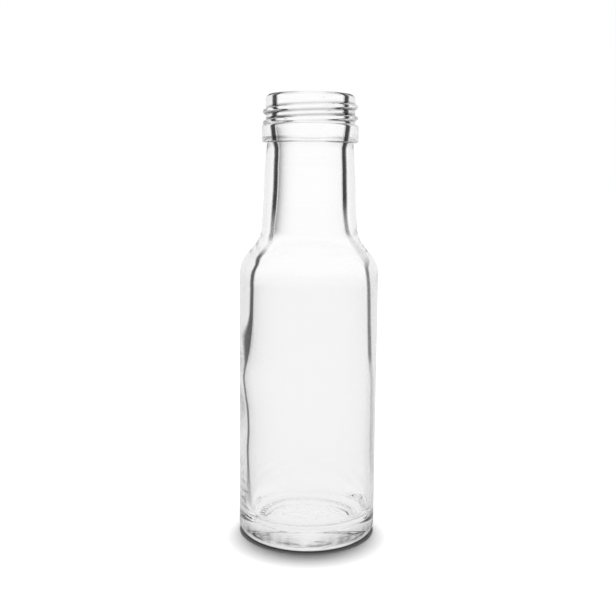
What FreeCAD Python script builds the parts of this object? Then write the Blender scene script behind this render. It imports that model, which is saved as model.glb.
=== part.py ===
import FreeCAD, Part
import math
import os
import Sketcher
from FreeCAD import Placement, Rotation, Vector

# A clear glass bottle of nominal 100 ml with a screw finish, blown in one piece.
# Frame: millimetres, +Z up, origin at the centre of the base, +Y towards the back.
# A half section turned about Z gives the outside, a second one cuts the cavity, fillets
# round both, and the thread is a helical ridge that fades into the wall at both ends.

DIMENSIONS = {
    # base: a flat bearing ring round a shallow push-up
    "pushup_height": 2.0,
    "bearing_inner_radius": 16.4,
    "heel_radius": 4.0,
    # body, shoulder and neck
    "body_radius": 22.0,
    "shoulder_corner_height": 87.7,
    "shoulder_radius": 9.0,
    "neck_corner_radius": 15.35,
    "neck_corner_height": 95.7,
    "throat_radius": 10.0,
    "neck_end_radius": 13.5,
    "neck_end_height": 124.9,
    # locking ring below the finish
    "ring_radius": 15.0,
    "ring_underside_height": 125.9,
    "ring_top_height": 130.6,
    "ring_rounding": 0.6,
    # screw finish and lip
    "finish_radius": 13.85,
    "total_height": 140.0,
    "lip_outer_rounding": 1.4,
    "lip_inner_rounding": 0.7,
    # bore of the finish and the neck
    "bore_lip_radius": 10.6,
    "bore_ring_radius": 11.2,
    "bore_ring_height": 130.6,
    "bore_neck_top_radius": 10.2,
    "bore_neck_top_height": 125.6,
    "bore_throat_radius": 10.9,
    # cavity of the body
    "cavity_throat_height": 97.5,
    "cavity_throat_radius": 9.0,
    "cavity_radius": 19.5,
    "cavity_shoulder_height": 86.8,
    "cavity_shoulder_radius": 9.0,
    "cavity_corner_rounding": 6.0,
    "floor_edge_radius": 13.0,
    "floor_edge_height": 4.8,
    "floor_centre_height": 6.4,
    # thread
    "thread_pitch": 3.45,
    "thread_turns": 1.75,
    "thread_fade_turns": 0.13,
    "thread_fade_sink": 0.15,
    "thread_start_angle": 135.0,
    "thread_start_height": 130.67,
    "thread_crest_radius": 14.8,
    "thread_crest_rounding": 0.55,
    "thread_root_depth": 0.35,
    "thread_root_width": 3.0,
}

SHEET_NAME = "Dimensions"
MATCH_TOLERANCE = 0.01


def make_sheet(doc):
    """The driving dimensions: one row each, its name beside its value."""
    sheet = doc.addObject("Spreadsheet::Sheet", SHEET_NAME)
    for row, (name, value) in enumerate(DIMENSIONS.items(), start=1):
        sheet.set(f"A{row}", name)
        sheet.set(f"B{row}", str(value))
        sheet.setAlias(f"B{row}", name)
    doc.recompute()
    return sheet


def cell(name):
    return f"{SHEET_NAME}.{name}"


def origin_plane(body, role):
    return next(plane for plane in body.Origin.OriginFeatures if plane.Role == role)


def new_sketch(body, name):
    """A sketch in the XZ plane: its first axis is the radius and its second the height."""
    sketch = body.newObject("Sketcher::SketchObject", name)
    sketch.AttachmentSupport = [(origin_plane(body, "XZ_Plane"), "")]
    sketch.MapMode = "FlatFace"
    return sketch


def constrain(sketch, constraint, expression):
    index = sketch.addConstraint(constraint)
    sketch.setExpression(f"Constraints[{index}]", expression)


def pin(sketch, edge, end, corner):
    """Holds one end of an edge at a corner, whose radius and height are cells or 0."""
    for kind, axis, name in zip(("DistanceX", "DistanceY"), (-2, -1), corner):
        if name == 0:
            sketch.addConstraint(Sketcher.Constraint("PointOnObject", edge, end, axis))
            continue
        size = DIMENSIONS[name]
        constrain(sketch, Sketcher.Constraint(kind, -1, 1, edge, end, size), cell(name))


def place(corner):
    return Vector(*(DIMENSIONS.get(name, 0.0) for name in corner), 0)


def dome(low, high):
    """An arc from the axis at high to the corner low, level where it meets the axis."""
    edge, top = place(low), place(high)
    rise = top.y - edge.y
    radius = (edge.x**2 + rise**2) / (2 * rise)
    circle = Part.Circle(Vector(0, top.y - radius, 0), Vector(0, 0, 1), radius)
    return Part.ArcOfCircle(circle, math.asin((radius - rise) / radius), math.pi / 2)


def half_section(body, name, centre, corners):
    """A closed section: a dome from the axis to the first corner, straight to each
    further corner, then back down the axis."""
    sketch = new_sketch(body, name)
    arc = sketch.addGeometry(dome(corners[0], centre), False)
    pin(sketch, arc, 1, corners[0])
    pin(sketch, arc, 2, centre)
    sketch.addConstraint(Sketcher.Constraint("PointOnObject", arc, 3, -2))
    last, last_end = arc, 1
    for start, end in zip(corners, corners[1:]):
        edge = sketch.addGeometry(Part.LineSegment(place(start), place(end)), False)
        sketch.addConstraint(Sketcher.Constraint("Coincident", last, last_end, edge, 1))
        pin(sketch, edge, 2, end)
        last, last_end = edge, 2
    axis = sketch.addGeometry(Part.LineSegment(place(corners[-1]), place(centre)), False)
    sketch.addConstraint(Sketcher.Constraint("Coincident", last, last_end, axis, 1))
    sketch.addConstraint(Sketcher.Constraint("Coincident", axis, 2, arc, 2))
    return sketch


def turned(body, kind, name, sketch):
    """A section turned a full circle about Z, added to the body or cut from it."""
    feature = body.newObject(kind, name)
    feature.Profile = sketch
    feature.ReferenceAxis = (sketch, ["V_Axis"])
    feature.Angle = 360.0
    body.Document.recompute()
    return feature


def make_outside(body):
    corners = [
        ("bearing_inner_radius", 0),
        ("body_radius", 0),
        ("body_radius", "shoulder_corner_height"),
        ("neck_corner_radius", "neck_corner_height"),
        ("neck_end_radius", "neck_end_height"),
        ("ring_radius", "ring_underside_height"),
        ("ring_radius", "ring_top_height"),
        ("finish_radius", "ring_top_height"),
        ("finish_radius", "total_height"),
        (0, "total_height"),
    ]
    sketch = half_section(body, "outside_section", (0, "pushup_height"), corners)
    return turned(body, "PartDesign::Revolution", "outside", sketch)


def make_cavity(body):
    corners = [
        ("floor_edge_radius", "floor_edge_height"),
        ("cavity_radius", "floor_edge_height"),
        ("cavity_radius", "cavity_shoulder_height"),
        ("bore_throat_radius", "cavity_throat_height"),
        ("bore_neck_top_radius", "bore_neck_top_height"),
        ("bore_ring_radius", "bore_ring_height"),
        ("bore_lip_radius", "total_height"),
        (0, "total_height"),
    ]
    sketch = half_section(body, "cavity_section", (0, "floor_centre_height"), corners)
    return turned(body, "PartDesign::Groove", "cavity", sketch)


def circular_edge(shape, corner):
    """The name of the full circle that a section's corner has become."""
    radius, height = place(corner).x, place(corner).y
    for number, edge in enumerate(shape.Edges, start=1):
        if edge.Degenerated or not isinstance(edge.Curve, Part.Circle):
            continue
        curve = edge.Curve
        off = abs(curve.Radius - radius) + abs(curve.Center.z - height)
        if off < MATCH_TOLERANCE:
            return f"Edge{number}"
    raise RuntimeError(f"no circular edge at radius {radius} and height {height}")


def round_corners(body, name, size, *corners):
    base = body.Tip
    fillet = body.newObject("PartDesign::Fillet", name)
    fillet.Base = (base, [circular_edge(base.Shape, corner) for corner in corners])
    fillet.setExpression("Radius", cell(size))
    body.Document.recompute()


def round_all(body):
    round_corners(body, "heel", "heel_radius", ("body_radius", 0))
    shoulder = ("body_radius", "shoulder_corner_height")
    round_corners(body, "shoulder", "shoulder_radius", shoulder)
    throat = ("neck_corner_radius", "neck_corner_height")
    round_corners(body, "throat", "throat_radius", throat)
    ring_underside = ("ring_radius", "ring_underside_height")
    ring_top = ("ring_radius", "ring_top_height")
    round_corners(body, "ring_edges", "ring_rounding", ring_underside, ring_top)
    round_corners(body, "lip", "lip_outer_rounding", ("finish_radius", "total_height"))
    round_corners(body, "mouth", "lip_inner_rounding", ("bore_lip_radius", "total_height"))
    inner_throat = ("bore_throat_radius", "cavity_throat_height")
    round_corners(body, "inner_throat", "cavity_throat_radius", inner_throat)
    inner_shoulder = ("cavity_radius", "cavity_shoulder_height")
    round_corners(body, "inner_shoulder", "cavity_shoulder_radius", inner_shoulder)
    floor_corner = ("cavity_radius", "floor_edge_height")
    round_corners(body, "inner_heel", "cavity_corner_rounding", floor_corner)


def thread_profile(body, name, turns_name):
    """The ridge's section, stood on the thread at its start or after the named turns: a
    rounded crest between two sloping flanks, with its root inside the wall."""
    size = DIMENSIONS
    sketch = new_sketch(body, name)
    turns, turns_cell = 0.0, "0"
    if turns_name:
        turns, turns_cell = size[turns_name], cell(turns_name)
    angle = f"{cell('thread_start_angle')} + 360 * {turns_cell}"
    sketch.AttachmentOffset = Placement(Vector(), Rotation(Vector(0, 1, 0), 0))
    sketch.setExpression("AttachmentOffset.Rotation.Angle", angle)

    crest = size["thread_crest_rounding"]
    height = size["thread_start_height"] + size["thread_pitch"] * turns
    root = size["finish_radius"] - size["thread_root_depth"]
    half_width = size["thread_root_width"] / 2
    middle = Vector(size["thread_crest_radius"] - crest, height, 0)
    reach = math.hypot(middle.x - root, half_width)
    tilt = math.atan2(half_width, middle.x - root) - math.asin(crest / reach)
    touch = Vector(math.sin(tilt), math.cos(tilt), 0) * crest
    lower, upper = Vector(root, height - half_width, 0), Vector(root, height + half_width, 0)

    back = sketch.addGeometry(Part.LineSegment(upper, lower), False)
    below = middle + Vector(touch.x, -touch.y, 0)
    low_flank = sketch.addGeometry(Part.LineSegment(lower, below), False)
    circle = Part.Circle(middle, Vector(0, 0, 1), crest)
    sweep = math.atan2(touch.y, touch.x)
    top = sketch.addGeometry(Part.ArcOfCircle(circle, -sweep, sweep), False)
    high_flank = sketch.addGeometry(Part.LineSegment(middle + touch, upper), False)

    sketch.addConstraint(Sketcher.Constraint("Coincident", back, 2, low_flank, 1))
    sketch.addConstraint(Sketcher.Constraint("Tangent", low_flank, 2, top, 1))
    sketch.addConstraint(Sketcher.Constraint("Tangent", top, 2, high_flank, 1))
    sketch.addConstraint(Sketcher.Constraint("Coincident", high_flank, 2, back, 1))
    sketch.addConstraint(Sketcher.Constraint("Vertical", back))
    rounding = Sketcher.Constraint("Radius", top, crest)
    constrain(sketch, rounding, cell("thread_crest_rounding"))
    width = Sketcher.Constraint("DistanceY", low_flank, 1, high_flank, 2, 2 * half_width)
    constrain(sketch, width, cell("thread_root_width"))
    root_at = Sketcher.Constraint("DistanceX", -1, 1, back, 1, root)
    constrain(sketch, root_at, f"{cell('finish_radius')} - {cell('thread_root_depth')}")
    centre_at = Sketcher.Constraint("DistanceX", -1, 1, top, 3, middle.x)
    reach_to = f"{cell('thread_crest_radius')} - {cell('thread_crest_rounding')}"
    constrain(sketch, centre_at, reach_to)
    level = Sketcher.Constraint("DistanceY", -1, 1, top, 3, height)
    rise = f"{cell('thread_start_height')} + {cell('thread_pitch')} * {turns_cell}"
    constrain(sketch, level, rise)
    lower_half = Sketcher.Constraint("DistanceY", low_flank, 1, top, 3, half_width)
    constrain(sketch, lower_half, f"{cell('thread_root_width')} / 2")
    return sketch


def helix(body, name, sketch, turns, growth, downwards):
    """A ridge swept up or down the thread, its radius growing by so much a turn."""
    feature = body.newObject("PartDesign::AdditiveHelix", name)
    feature.Profile = sketch
    feature.ReferenceAxis = (sketch, ["V_Axis"])
    feature.Mode = "height-turns-growth"
    feature.setExpression("Turns", turns)
    feature.setExpression("Height", f"{cell('thread_pitch')} * {turns}")
    feature.setExpression("Growth", growth)
    feature.Reversed = downwards
    feature.HasBeenEdited = True
    body.Document.recompute()


def make_thread(body):
    turns, fade = cell("thread_turns"), cell("thread_fade_turns")
    stand = f"{cell('thread_crest_radius')} - {cell('finish_radius')}"
    shrink = f"-({stand} + {cell('thread_fade_sink')}) / {fade}"
    start = thread_profile(body, "thread_start_section", None)
    helix(body, "thread", start, turns, "0", False)
    fade_in = thread_profile(body, "thread_fade_in_section", None)
    helix(body, "thread_fade_in", fade_in, fade, shrink, True)
    fade_out = thread_profile(body, "thread_fade_out_section", "thread_turns")
    helix(body, "thread_fade_out", fade_out, fade, shrink, False)


def make_bottle(doc):
    body = doc.addObject("PartDesign::Body", "bottle")
    body.Label = "bottle"
    make_outside(body)
    make_cavity(body)
    round_all(body)
    make_thread(body)
    return body


def check(doc, parts):
    for thing in doc.Objects:
        if {"Invalid", "Error"} & set(thing.State):
            raise RuntimeError(f"{thing.Name} is {thing.State}")
    for part in parts:
        shape = part.Shape
        if shape.isNull() or not shape.isValid() or len(shape.Solids) != 1:
            raise RuntimeError(f"{part.Label} isn't one valid solid")


def main():
    doc = FreeCAD.newDocument("glass_bottle")
    make_sheet(doc)
    parts = [make_bottle(doc)]
    doc.recompute()
    check(doc, parts)
    os.makedirs("parts", exist_ok=True)
    for part in parts:
        part.Shape.exportStep(f"parts/{part.Label}.step")
        box = part.Shape.optimalBoundingBox()
        print(part.Label, "volume", round(part.Shape.Volume), "mm3")
        print("from", [round(v, 3) for v in (box.XMin, box.YMin, box.ZMin)])
        print("to", [round(v, 3) for v in (box.XMax, box.YMax, box.ZMax)])


main()
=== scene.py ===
import math

import bpy
import numpy as np
from mathutils import Euler, Matrix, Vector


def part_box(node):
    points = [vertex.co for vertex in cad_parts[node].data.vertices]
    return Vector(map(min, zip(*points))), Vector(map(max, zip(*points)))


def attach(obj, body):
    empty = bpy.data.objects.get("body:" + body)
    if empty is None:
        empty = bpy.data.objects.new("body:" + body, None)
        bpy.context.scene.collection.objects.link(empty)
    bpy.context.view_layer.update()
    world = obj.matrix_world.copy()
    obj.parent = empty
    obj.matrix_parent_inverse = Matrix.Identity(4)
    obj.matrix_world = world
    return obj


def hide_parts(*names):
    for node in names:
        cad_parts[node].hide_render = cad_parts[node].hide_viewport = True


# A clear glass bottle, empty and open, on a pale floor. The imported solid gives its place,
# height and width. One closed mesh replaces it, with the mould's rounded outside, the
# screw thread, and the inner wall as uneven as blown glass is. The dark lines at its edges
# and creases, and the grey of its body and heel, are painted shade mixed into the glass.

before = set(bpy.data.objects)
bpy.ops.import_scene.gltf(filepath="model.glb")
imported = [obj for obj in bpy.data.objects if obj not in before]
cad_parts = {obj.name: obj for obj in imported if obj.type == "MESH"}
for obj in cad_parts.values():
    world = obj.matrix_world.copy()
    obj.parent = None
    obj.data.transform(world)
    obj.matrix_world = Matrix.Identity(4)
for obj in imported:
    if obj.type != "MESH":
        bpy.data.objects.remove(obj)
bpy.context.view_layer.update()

NODE = "bottle"
MM = 0.001
LOW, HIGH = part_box(NODE)
HEIGHT = (HIGH[2] - LOW[2]) / MM
BODY_RADIUS = (HIGH[0] - LOW[0]) / 2 / MM

# The outline, in millimetres from the axis and above the base
HEEL_ROUNDING = 3.4
PUSHUP_RADIUS = 16.4
PUSHUP_HEIGHT = 2.0
BEARING_RADIUS = 17.6            # the middle of the ring it stands on
SHOULDER_BOTTOM = 87.7
NECK_BOTTOM, NECK_BOTTOM_RADIUS = 95.7, 15.35
NECK_TOP_RADIUS = 13.5
RING_BOTTOM, RING_TOP = 125.4, 130.6     # the locking ring below the thread
RING_RADIUS = 15.0
FINISH_BOTTOM = 131.0
FINISH_RADIUS = 13.85
LIP_RADIUS = 11.9                # where the outer skin hands over to the inner one
BORE_RADIUS = 10.3
CAVITY_RADIUS = 19.5
FLOOR_RADIUS = 13.0              # the domed part of the inner floor
FLOOR_HEIGHT = 4.9
FLOOR_DOME = 1.4
FILLET = 0.25                    # at the foot of the push-up and of the thread
THREAD_DEPTH = 0.95
THREAD_PITCH = 3.45
THREAD_LOW_HEIGHT = 131.15       # the crest's height on the left, where it leaves the ring
THREAD_START, THREAD_END = 95.0, 812.0   # degrees round from +X, faded at both ends
THREAD_FADE = 48.0
THREAD_HALF_WIDTH = 1.05
THREAD_HALF_CREST = 0.3

# The relief under the base: a stippled ring, and short arcs (degrees round, radius)
STIPPLE_BARS = 40
STIPPLE_DEPTH = 0.08
ARCS = ((255.0, 8.5), (318.0, 9.5), (30.0, 9.0), (100.0, 8.5), (175.0, 9.5))
ARC_HEIGHT = 0.12

AROUND = 240                     # vertices in each ring of the mesh

# The inner wall's radius at the left and at the right, as (height, radius) and as blown:
# heavy on the left below the shoulder, thin again half way down, and gathered in towards
# the floor.
INNER_LEFT = [
    (4.0, 18.9), (8.0, 19.1), (13.0, 19.25), (20.0, 19.5), (27.0, 19.6), (33.0, 19.5),
    (40.0, 19.7), (46.0, 20.1), (52.0, 20.1), (56.0, 19.5), (60.0, 18.7), (63.0, 18.3),
    (66.0, 18.2), (72.0, 18.1), (80.0, 17.9), (84.2, 17.7), (86.2, 17.15), (88.0, 16.1),
    (90.0, 14.75), (92.0, 13.3), (94.5, 12.05), (97.0, 11.4), (100.0, 11.0), (104.3, 10.4),
    (110.0, 10.05), (118.0, 9.85), (123.0, 9.75), (127.0, 10.4),
]
INNER_RIGHT = [
    (4.0, 20.3), (13.0, 20.6), (27.0, 20.4), (40.0, 20.3), (50.0, 20.0), (57.0, 19.4),
    (66.0, 19.05), (76.0, 18.8), (82.4, 18.5), (85.0, 18.2), (87.5, 17.4), (89.4, 16.2),
    (91.0, 14.9), (93.0, 13.6), (95.5, 12.4), (98.0, 11.5), (101.0, 10.9), (104.5, 10.4),
    (110.0, 10.15), (118.0, 9.95), (123.0, 9.8), (127.0, 10.35),
]

GLASS_COLOUR = (0.988, 0.988, 0.988, 1)
GLASS_IOR = 1.52
OUTER_PAINTED_SHADE = (0.02, 0.02, 0.02, 1)       # painted shade: the dark colour that each skin's painted lines are mixed with
INNER_PAINTED_SHADE = (0.012, 0.012, 0.018, 1)
MIRROR_START = 0.24              # how edge on a skin is met from within before it mirrors

FLOOR_HALF = 6.0                 # metres
FLOOR_GREY = 0.8                 # for the light that it scatters, and white to the eye
FLOOR_PALE = 0.97                # the share of plain white in the floor seen through glass
AMBIENT_GREY = 0.27
SUN_STRENGTH = 3.2
SUN_ANGLE, SUN_LEAN = 10.0, 4.5  # degrees: its width, and how far it stands to the back

CAMERA_PLACE = (-0.00023, -0.2829, 0.1150)
CAMERA_LENS = 52.24
CAMERA_SENSOR = 36.0
CAMERA_SHIFT = -0.025
CAMERA_PITCH, CAMERA_ROLL = 7.437, 0.565    # degrees: down, and the bottle's top to the right


def smooth(value):
    """0 up to 0, 1 from 1 on, and a smooth step between."""
    value = np.clip(value, 0.0, 1.0)
    return value * value * (3 - 2 * value)


def rise(value, start, width):
    """A smooth step from 0 to 1 that begins at start."""
    return smooth((value - start) / width)


def fall(value, end, width):
    """A smooth step from 1 to 0 that is over at end."""
    return smooth((end - value) / width)


def bump(value, middle, width):
    """A round bump, 1 in the middle."""
    return np.exp(-((value - middle) / width)**2)


def leftness(angle):
    """1 on the bottle's left, 0 on its right, and a half at the front and back."""
    return 0.5 - 0.5 * np.cos(angle)


def soft_max(a, b, width):
    """The larger of a and b, with a fillet of about that width where they meet."""
    blend = np.clip(0.5 + 0.5 * (a - b) / width, 0.0, 1.0)
    return b + (a - b) * blend + width * blend * (1 - blend)


def blend_knots(z, knots):
    """A smooth curve through (height, value) knots."""
    heights, values = (np.array(column, float) for column in zip(*knots))
    slopes = np.gradient(values, heights)
    index = np.clip(np.searchsorted(heights, z) - 1, 0, len(heights) - 2)
    span = heights[index + 1] - heights[index]
    t = np.clip((z - heights[index]) / span, 0, 1)
    a, b = values[index], values[index + 1]
    m, n = slopes[index] * span, slopes[index + 1] * span
    return ((2 * t**3 - 3 * t**2 + 1) * a + (t**3 - 2 * t**2 + t) * m
            + (3 * t**2 - 2 * t**3) * b + (t**3 - t**2) * n)


def rounded(corners, step):
    """Points along straight runs between rounded corners. A corner is a radius, a height,
    its rounding and, where it isn't the usual one, the step of the run after it."""
    points = [np.array(corners[0][:2], float)]
    steps = [corner[3] if len(corner) > 3 else step for corner in corners]
    for index in range(1, len(corners)):
        here = np.array(corners[index][:2], float)
        before = np.array(corners[index - 1][:2], float)
        rounding = corners[index][2] if index < len(corners) - 1 else 0.0
        arc = []
        if rounding:
            after = np.array(corners[index + 1][:2], float)
            into = (here - before) / np.linalg.norm(here - before)
            out = (after - here) / np.linalg.norm(after - here)
            turn = math.acos(np.clip(into @ out, -1, 1))
            reach = rounding * math.tan(turn / 2)
            start = here - into * reach
            side = np.array([-into[1], into[0]])
            side *= np.sign(side @ out)
            centre = start + side * rounding
            count = max(4, math.ceil(turn * rounding / min(step, rounding * 0.22)))
            for angle in np.linspace(0, turn, count + 1):
                arc.append(centre - side * rounding * math.cos(angle)
                           + into * rounding * math.sin(angle))
            here = start
        run = np.linalg.norm(here - points[-1])
        count = max(1, math.ceil(run / steps[index - 1]))
        first = points[-1]
        points += [first + (here - first) * k / count for k in range(1, count + 1)]
        points += arc[1:]
    return np.array(points)


def pushup_path():
    """Points under the base from the axis out, with a fillet where the bearing ring starts."""
    spots = np.linspace(0, BEARING_RADIUS, 40)
    dome = PUSHUP_HEIGHT * (1 - (spots / PUSHUP_RADIUS)**2)
    return np.column_stack([spots, soft_max(dome, 0.0, FILLET)])


def outer_path():
    """The outer skin, from the middle of the base round the heel and up to the lip."""
    side = rounded([
        (BEARING_RADIUS, 0.0, 0.0, 0.4),
        (BODY_RADIUS, 0.0, HEEL_ROUNDING, 3.0),
        (BODY_RADIUS, SHOULDER_BOTTOM, 9.0, 0.6),
        (NECK_BOTTOM_RADIUS, NECK_BOTTOM, 10.0, 2.0),
        (NECK_TOP_RADIUS, RING_BOTTOM - 0.2, 0.3, 0.2),
        (RING_RADIUS, RING_BOTTOM, 0.2, 0.5),
        (RING_RADIUS, RING_TOP, 0.65, 0.1),
        (FINISH_RADIUS + 0.12, RING_TOP + 0.14, 0.12, 0.1),
        (FINISH_RADIUS, FINISH_BOTTOM, 0.0, 0.13),
        (FINISH_RADIUS, HEIGHT, 1.6, 0.3),
        (LIP_RADIUS, HEIGHT, 0.0),
    ], 0.45)
    return np.vstack([pushup_path(), side[1:]])


def inner_path():
    """The inner skin, from the lip down the bore and the cavity to the middle of the floor."""
    wall = rounded([
        (LIP_RADIUS, HEIGHT, 0.0, 0.3),
        (BORE_RADIUS, HEIGHT, 1.2, 0.6),
        (BORE_RADIUS, 135.4, 1.5, 0.6),
        (10.95, FINISH_BOTTOM, 1.5, 0.6),
        (BORE_RADIUS, RING_BOTTOM, 2.0, 2.0),
        (11.1, 99.0, 2.0, 0.8),
        (18.5, 85.0, 2.0, 2.2),
        (CAVITY_RADIUS, FLOOR_HEIGHT, 6.0, 0.5),
        (FLOOR_RADIUS, FLOOR_HEIGHT, 0.0, 0.8),
    ], 0.6)
    across = np.linspace(FLOOR_RADIUS, 0, 27)
    dome = FLOOR_DOME / 2 * (1 + np.cos(math.pi * across / FLOOR_RADIUS))
    return np.vstack([wall, np.column_stack([across, FLOOR_HEIGHT + dome])[1:]])


def thread_turns(z, angle):
    """For each turn of the screw thread: the distance above its crest, and its strength."""
    degrees = np.degrees(angle)
    for turn in range(-1, 4):
        along = degrees + 360 * turn
        crest = THREAD_LOW_HEIGHT + THREAD_PITCH * (along - 180) / 360
        fade = rise(along, THREAD_START, THREAD_FADE) * fall(along, THREAD_END, THREAD_FADE)
        yield z - crest, fade


def thread_height(z, angle):
    """How far the screw thread stands out of the finish at a height and an angle."""
    total = np.zeros(np.broadcast(z, angle).shape)
    for off, fade in thread_turns(z, angle):
        flank = (np.abs(off) - THREAD_HALF_CREST) / (THREAD_HALF_WIDTH - THREAD_HALF_CREST)
        shape = 0.5 + 0.5 * np.cos(math.pi * np.clip(flank, 0, 1))
        total = np.maximum(total, THREAD_DEPTH * fade * shape)
    return total


def base_relief(r, angle):
    """How far the underside lies above its smooth path: up in the stipple of the bearing
    ring, and down at a few short arcs under the push-up."""
    bars = (0.5 - 0.5 * np.cos(STIPPLE_BARS * angle)) * (1.1 + 0.5 * np.sin(7 * angle + 1.2))
    stipple = STIPPLE_DEPTH * bars * rise(r, 16.5, 0.5) * fall(r, 19.6, 0.7)
    marks = np.zeros(np.broadcast(r, angle).shape)
    for middle, radius in ARCS:
        turn = (np.degrees(angle) - middle + 180) % 360 - 180
        arc = bump(r - radius, (turn / 16.0)**2, 0.5)
        marks = np.maximum(marks, arc * fall(np.abs(turn), 22.0, 6.0))
    return stipple - ARC_HEIGHT * marks


def inner_wall(r, z, angle):
    """The inner skin's radius: its round path at the finish and floor, as blown between."""
    blown = rise(z, 5.5, 5.0) * fall(z, 126.5, 3.0)
    blown = blown * (r > BORE_RADIUS - 0.3)     # and not on the floor's dome
    left, right = blend_knots(z, INNER_LEFT), blend_knots(z, INNER_RIGHT)
    uneven = right + (left - right) * leftness(angle)**2.5
    heel = rise(z, 4.9, 2.5) * fall(z, 15.0, 6.0)
    lumps = 0.04 * np.sin(5 * angle + 0.4) + 0.02 * np.sin(9 * angle + 0.7 * z)
    return r + (uneven - r) * blown + lumps * heel


def floor_ripple(r, angle):
    """How far the inner floor stands above its smooth path, as the glass set."""
    x, y = r * np.cos(angle), r * np.sin(angle)
    waves = (0.06 * np.sin(0.85 * x + 0.4 * y + 0.6) * np.cos(0.7 * y - 0.3 * x)
             + 0.06 * np.sin(0.6 * r + 2.0 * np.cos(angle - 0.8)))
    return waves * smooth(r / 3.0)


def painted_crease_shade(z, angle):
    """How dark the painted shade in the outer skin's creases is: at the thread's feet, the
    ring's foot and the lip's left and right.
    """
    total = np.zeros(np.broadcast(z, angle).shape)
    for off, fade in thread_turns(z, angle):
        below = 0.40 * bump(off, -0.90, 0.38) * rise(z, RING_TOP, 1.6)
        above = (0.40 - 0.04 * (z - 133.0)) * bump(off, 1.03, 0.38)
        total = np.maximum(total, (below + above) * fade)
    total = total * rise(z, RING_TOP - 0.1, 0.4)

    # Painted shade at the ring's foot and at the lip, darker towards the left and right
    side = np.cos(angle)**2
    aside = rise(side, 0.04, 0.35)
    ring_edge = (0.19 + 0.15 * aside) * bump(z, RING_BOTTOM - 0.15, 0.25)
    ring_line = 0.03 + (0.1 + 0.3 * leftness(angle)) * aside
    ring_line = ring_line * bump(z, RING_BOTTOM + 1.0, 0.35)
    total = np.maximum(np.maximum(total, ring_edge), ring_line)
    total = total * (1.0 + rise(side, 0.05, 0.35) * fall(side, 1.0, 0.3))
    lip = 1.1 * side * rise(z, HEIGHT - 1.0, 0.5)
    return np.maximum(total, lip)


def painted_body_and_heel_shade(z, angle):
    """How much painted shade greys the glass: a little in the body below the shoulder, and much
    more in uneven streaks at the heel's left and right.
    """
    side = np.abs(np.cos(angle))**1.6
    body = 0.078 * fall(z, 88.0, 6.0) + 0.01 * fall(z, 50.0, 20.0)
    shade_streaks = 0.75 + 0.25 * np.sin(9.0 * angle + 1.3 * z)
    return body + 0.34 * side * shade_streaks * fall(z, 8.5, 3.5)


def painted_heel_patches(z, angle):
    """How much patchy painted shade darkens the heel where it turns away, above the stipple."""
    shade_patches = 0.65 + 0.35 * np.sin(13 * angle + 0.9 * z + 0.5) * np.sin(29 * angle - 1.7 * z)
    return 0.5 * shade_patches * rise(z, 1.9, 1.2) * fall(z, 7.0, 3.0)


def painted_shade(r, z, angle):
    """The painted shade at the inner wall's edge: how dark its line is, how wide, and how much
    painted shade lies beside it.
    """
    left = leftness(angle)
    right = 1 - left
    # Where the neck, the shoulder between neck and body, the body and the base are
    foot = z - 94.0 + 2.0 * left
    neck = 0.7 * rise(foot, 0.0, 4.0) + 0.3 * rise(foot, 6.0, 8.0)
    neck = neck * fall(z, HEIGHT - 0.6, 0.5)
    shoulder = rise(z, 85.0, 3.0) * fall(z, 99.0, 3.0)
    body = fall(z, 90.0 + 3.0 * left, 4.5) * rise(z, 9.0, 4.0)
    base = fall(z, 9.5, 3.0)
    upper_body, lower_body = rise(z, 55.0, 5.0), fall(z, 26.0, 14.0)

    depth = left * (0.85 + 0.1 * upper_body) + right * (0.33 + 0.47 * upper_body)
    depth = (neck + body * depth) * (1 - 0.55 * lower_body) + 0.04 * base
    depth = np.maximum(depth, 0.2 * shoulder)

    thickest = bump(z, 64.5, 4.5) * left
    width = 0.14 * neck + body * (left * (0.024 + 0.03 * upper_body) + right * 0.045)
    width = width + 0.08 * thickest + 0.03 * lower_body * body + 0.6 * base
    width = np.maximum(width, 0.1 * shoulder)
    bend = left * rise(z, 84.5, 3.0) * fall(z, 96.0, 4.0)
    width = np.maximum(width * (1 - 0.45 * bend), 0.02)

    # Painted shade beside the edge: in the neck, mostly on the left, and in the body
    beside_shade = rise(z, 94.0, 5.0) * fall(z, FINISH_BOTTOM, 3.0) * (0.12 + 1.3 * left**3)
    beside_shade = beside_shade + (0.15 + 0.2 * left) * fall(z, 84.0, 5.0) * rise(z, 9.0, 3.0)
    beside_shade = beside_shade + base * 0.12 * rise(r, 9.0, 6.0)
    return depth, width, beside_shade


def place_rings(radius, height, angle):
    """Points in space, one ring for each row of radius and height."""
    return np.stack([radius * np.cos(angle), radius * np.sin(angle), height], axis=2)


def outer_skin(angle):
    """The outer skin's rings of points, and the painted shade that each point holds."""
    path = outer_path()
    r, z = path[:, :1], path[:, 1:]
    finish = rise(z, RING_TOP - 0.3, 0.2) * fall(z, HEIGHT - 0.4, 0.8)
    finish = finish * (r > FINISH_RADIUS - 0.35)     # and not on the lip's rounding
    with_thread = soft_max(r, FINISH_RADIUS + thread_height(z, angle), FILLET)
    radius = r + (with_thread - r) * finish
    height = z + base_relief(r, angle) * (z < 3.0)
    looks = painted_crease_shade(z, angle), painted_body_and_heel_shade(z, angle), painted_heel_patches(z, angle)
    return place_rings(radius, height, angle), np.stack(looks, axis=2)


def inner_skin(angle):
    """The inner skin's rings of points, and the painted shade that each point holds."""
    path = inner_path()[1:]
    r, z = path[:, :1], path[:, 1:]
    radius = inner_wall(r, z, angle)
    height = z + floor_ripple(radius, angle) * fall(z, 8.0, 3.0)
    looks = painted_shade(radius, z, angle)
    return place_rings(radius, height, angle), np.stack(looks, axis=2)


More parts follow.
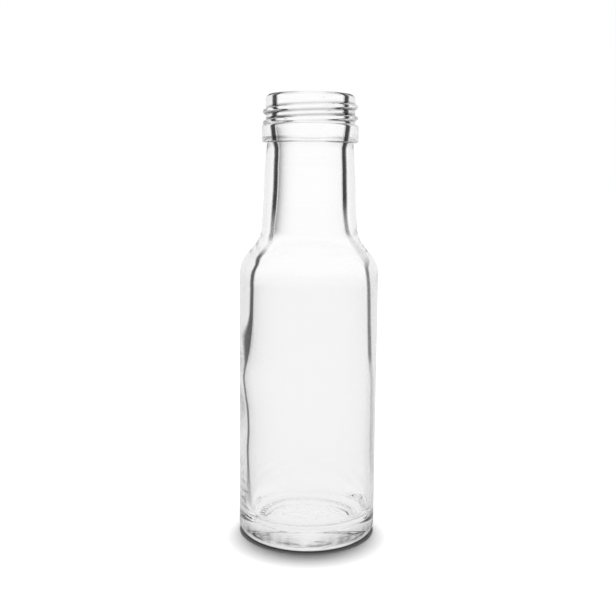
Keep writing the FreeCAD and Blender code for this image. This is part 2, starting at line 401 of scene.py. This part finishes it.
def ring_mesh(name, rings):
    """A closed skin through rings of points, with its first and last ring shrunk to poles."""
    count, around = rings.shape[:2]
    verts = [rings[0].mean(axis=0)]
    verts += list(rings[1:-1].reshape(-1, 3))
    verts.append(rings[-1].mean(axis=0))
    last = len(verts) - 1
    faces = []
    for j in range(around):
        k = (j + 1) % around
        faces.append((0, 1 + k, 1 + j))
        for i in range(count - 3):
            row, above = 1 + i * around, 1 + (i + 1) * around
            faces.append((row + j, row + k, above + k, above + j))
        row = 1 + (count - 3) * around
        faces.append((row + j, row + k, last))
    mesh = bpy.data.meshes.new(name)
    mesh.from_pydata(np.array(verts) * MM, [], faces)
    mesh.update()
    return mesh


def make_bottle():
    """Both skins as one closed mesh, with the first material outside and the second inside."""
    angle = np.linspace(0, 2 * math.pi, AROUND, endpoint=False)[None, :]
    outer, outer_looks = outer_skin(angle)
    inner, inner_looks = inner_skin(angle)
    mesh = ring_mesh("bottle_glass", np.concatenate([outer, inner]))
    mesh.shade_smooth()

    first_inner = 1 + (len(outer) - 1) * AROUND
    looks = np.zeros((len(mesh.vertices), 3))
    looks[1:first_inner] = outer_looks[1:].reshape(-1, 3)
    looks[first_inner:-1] = inner_looks[:-1].reshape(-1, 3)
    # Each point holds three values of painted shade for its material
    edge = mesh.attributes.new("painted_shade", "FLOAT_VECTOR", "POINT")
    edge.data.foreach_set("vector", looks.ravel())

    corners = np.zeros(len(mesh.loops), np.int32)
    mesh.loops.foreach_get("vertex_index", corners)
    starts = np.zeros(len(mesh.polygons), np.int32)
    mesh.polygons.foreach_get("loop_start", starts)
    slots = (corners[starts] >= first_inner).astype(np.int32)
    mesh.polygons.foreach_set("material_index", slots)

    piece = bpy.data.objects.new("bottle_glass", mesh)
    bpy.context.scene.collection.objects.link(piece)
    return piece


def new_material(name):
    """An empty material, its node tree and its output node."""
    material = bpy.data.materials.new(name)
    material.use_nodes = True
    tree = material.node_tree
    tree.nodes.clear()
    output = tree.nodes.new("ShaderNodeOutputMaterial")
    return material, tree, output


def ramp(tree, source, stops):
    """A grey curve of a value: (value, grey) stops, smoothly joined."""
    node = tree.nodes.new("ShaderNodeValToRGB")
    node.color_ramp.interpolation = "EASE"
    elements = node.color_ramp.elements
    while len(elements) < len(stops):
        elements.new(1.0)
    for element, (place, grey) in zip(elements, stops):
        element.position = place
        element.color = (grey, grey, grey, 1)
    tree.links.new(source, node.inputs[0])
    return node.outputs["Color"]


def combine(tree, operation, a, b):
    """A Math node of two values, each a socket or a number."""
    node = tree.nodes.new("ShaderNodeMath")
    node.operation = operation
    for socket, value in zip(node.inputs, (a, b)):
        if isinstance(value, (int, float)):
            socket.default_value = value
        else:
            tree.links.new(value, socket)
    return node.outputs[0]


def mix_greys(tree, factor, low, high):
    """A grey between two."""
    node = tree.nodes.new("ShaderNodeMix")
    node.data_type = "RGBA"
    node.inputs["A"].default_value = (low, low, low, 1)
    node.inputs["B"].default_value = (high, high, high, 1)
    tree.links.new(factor, node.inputs["Factor"])
    return node.outputs["Result"]


def mix_shaders(tree, output, factor, first, second):
    """Give the surface two shaders, mixed by a factor."""
    node = tree.nodes.new("ShaderNodeMixShader")
    tree.links.new(factor, node.inputs[0])
    tree.links.new(first.outputs[0], node.inputs[1])
    tree.links.new(second.outputs[0], node.inputs[2])
    tree.links.new(node.outputs["Shader"], output.inputs["Surface"])


def shaded_glass(tree, output, darkness, dark):
    """Clear glass, mixed by a share from 0 to 1 with a dark diffuse shader: painted shade."""
    clear = tree.nodes.new("ShaderNodeBsdfPrincipled")
    clear.inputs["Base Color"].default_value = GLASS_COLOUR
    clear.inputs["Roughness"].default_value = 0.0
    clear.inputs["IOR"].default_value = GLASS_IOR
    clear.inputs["Transmission Weight"].default_value = 1.0
    shade = tree.nodes.new("ShaderNodeBsdfDiffuse")
    shade.inputs["Color"].default_value = dark
    mix_shaders(tree, output, darkness, clear, shade)


def edge_inputs(tree):
    """How edge on the surface is met, 1 where it is met from within the glass, and the
    three values of painted shade that the mesh holds there."""
    weight = tree.nodes.new("ShaderNodeLayerWeight")
    weight.inputs["Blend"].default_value = 0.5
    side = tree.nodes.new("ShaderNodeNewGeometry")
    edge = tree.nodes.new("ShaderNodeAttribute")
    edge.attribute_name = "painted_shade"
    parts = tree.nodes.new("ShaderNodeSeparateXYZ")
    tree.links.new(edge.outputs["Vector"], parts.inputs[0])
    return weight.outputs["Facing"], side.outputs["Backfacing"], parts.outputs


def outer_material():
    """The outer skin, with painted shade: a faint dark outline where it turns away, dark
    creases, grey in the body and heel, and dark patches at the heel."""
    material, tree, output = new_material("clear_glass")
    facing, within, (crease, body_and_heel_shade, heel) = edge_inputs(tree)
    # Painted shade: a faint dark outline where the outer skin turns away from the eye
    outline = ramp(tree, facing, [(0.0, 0.0), (0.42, 0.0), (0.62, 0.09), (1.0, 0.09)])
    turned = ramp(tree, facing, [(0.0, 0.1), (0.07, 0.1), (0.16, 1.0), (0.6, 1.0), (1.0, 0.2)])
    patchy = combine(tree, "MULTIPLY", turned, heel)
    lines = combine(tree, "MAXIMUM", combine(tree, "MAXIMUM", outline, crease), patchy)
    shown = combine(tree, "ADD", lines, body_and_heel_shade)
    # The painted shade shows only where the outer skin is seen from the air
    outside = combine(tree, "SUBTRACT", 1.0, within)
    shaded_glass(tree, output, combine(tree, "MULTIPLY", shown, outside), OUTER_PAINTED_SHADE)
    return material


def inner_material():
    """The inner skin, with painted shade where it is met edge on, as the wall of a bottle
    shows dark against a bright ground. From within the glass the shade is painted as a line
    with a faint tail, and from the air inside as a soft edge with more shade beside it."""
    material, tree, output = new_material("clear_glass_inside")
    facing, within, (depth, width, beside_shade) = edge_inputs(tree)

    beyond = combine(tree, "SUBTRACT", facing, MIRROR_START)
    across = combine(tree, "DIVIDE", beyond, width)
    line = ramp(tree, across, [(0.0, 0.0), (0.22, 1.0), (0.55, 1.0), (1.0, 0.0)])
    tail = ramp(tree, facing, [(0.0, 0.0), (MIRROR_START, 0.0), (0.27, 0.13), (0.33, 0.06),
                               (1.0, 0.0)])
    from_glass = combine(tree, "MULTIPLY", combine(tree, "MAXIMUM", line, tail), depth)

    last = ramp(tree, facing, [(0.0, 0.0), (0.76, 0.0), (0.95, 1.0), (1.0, 1.0)])
    squared = combine(tree, "MULTIPLY", facing, facing)
    beside = combine(tree, "MULTIPLY", squared, beside_shade)
    from_air = combine(tree, "MAXIMUM", combine(tree, "MULTIPLY", last, depth), beside)

    chosen = tree.nodes.new("ShaderNodeMix")
    tree.links.new(within, chosen.inputs["Factor"])
    tree.links.new(from_air, chosen.inputs["A"])
    tree.links.new(from_glass, chosen.inputs["B"])
    shaded_glass(tree, output, chosen.outputs["Result"], INNER_PAINTED_SHADE)
    return material


def seen_rays(tree):
    """1 for the rays that come through or off the glass, and 1 for those and the camera's."""
    path = tree.nodes.new("ShaderNodeLightPath").outputs
    through = combine(tree, "MAXIMUM", path["Is Transmission Ray"], path["Is Glossy Ray"])
    return through, combine(tree, "MAXIMUM", path["Is Camera Ray"], through)


def floor_material():
    """White to the eye where it is lit, with the bottle's shadow on it. Seen through the
    glass it is almost plain white."""
    material, tree, output = new_material("pale_floor")
    through, seen = seen_rays(tree)
    lit = tree.nodes.new("ShaderNodeBsdfDiffuse")
    tree.links.new(mix_greys(tree, seen, FLOOR_GREY, 1), lit.inputs["Color"])
    pale = tree.nodes.new("ShaderNodeEmission")
    pale.inputs["Color"].default_value = (1, 1, 1, 1)
    pale.inputs["Strength"].default_value = 1.0
    mix_shaders(tree, output, combine(tree, "MULTIPLY", through, FLOOR_PALE), lit, pale)
    return material


def make_floor():
    """A plain square sheet that the bottle stands on."""
    sides = [(-1, -1), (1, -1), (1, 1), (-1, 1)]
    corners = [(x * FLOOR_HALF, y * FLOOR_HALF, LOW[2]) for x, y in sides]
    mesh = bpy.data.meshes.new("floor")
    mesh.from_pydata(corners, [], [(0, 1, 2, 3)])
    mesh.materials.append(floor_material())
    floor = bpy.data.objects.new("floor", mesh)
    bpy.context.scene.collection.objects.link(floor)


def make_world():
    """White to the camera and through the glass, and a low even light for the rest."""
    world = bpy.data.worlds.new("studio")
    bpy.context.scene.world = world
    world.use_nodes = True
    tree = world.node_tree
    tree.nodes.clear()
    output = tree.nodes.new("ShaderNodeOutputWorld")
    background = tree.nodes.new("ShaderNodeBackground")
    tree.links.new(background.outputs[0], output.inputs["Surface"])
    _, seen = seen_rays(tree)
    tree.links.new(mix_greys(tree, seen, AMBIENT_GREY, 1), background.inputs["Color"])


def make_lamp():
    """One soft sun overhead and a little behind, so that the shadow falls to the front."""
    data = bpy.data.lights.new("softbox", "SUN")
    data.energy = SUN_STRENGTH
    data.angle = math.radians(SUN_ANGLE)
    lamp = bpy.data.objects.new("softbox", data)
    lamp.rotation_euler = (math.radians(-SUN_LEAN), 0, 0)
    bpy.context.scene.collection.objects.link(lamp)
    lamp.visible_glossy = False
    lamp.visible_transmission = False


def make_camera():
    """Close and a little above the middle, as the photograph was taken."""
    data = bpy.data.cameras.new("camera")
    data.sensor_width = CAMERA_SENSOR
    data.lens = CAMERA_LENS
    data.shift_y = CAMERA_SHIFT
    camera = bpy.data.objects.new("camera", data)
    camera.location = CAMERA_PLACE
    pitch, roll = math.radians(90 - CAMERA_PITCH), math.radians(CAMERA_ROLL)
    look = Euler((pitch, 0, 0)).to_matrix() @ Matrix.Rotation(roll, 3, "Z")
    camera.rotation_euler = look.to_euler()
    bpy.context.scene.collection.objects.link(camera)
    bpy.context.scene.camera = camera


bottle = make_bottle()
bottle.data.materials.append(outer_material())
bottle.data.materials.append(inner_material())
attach(bottle, "root")
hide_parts(NODE)

make_floor()
make_world()
make_lamp()
make_camera()
scene = bpy.context.scene
scene.view_settings.view_transform = "Standard"
scene.cycles.max_bounces = 32
scene.cycles.glossy_bounces = 24
scene.cycles.transmission_bounces = 32
scene.cycles.caustics_reflective = False
scene.cycles.caustics_refractive = False
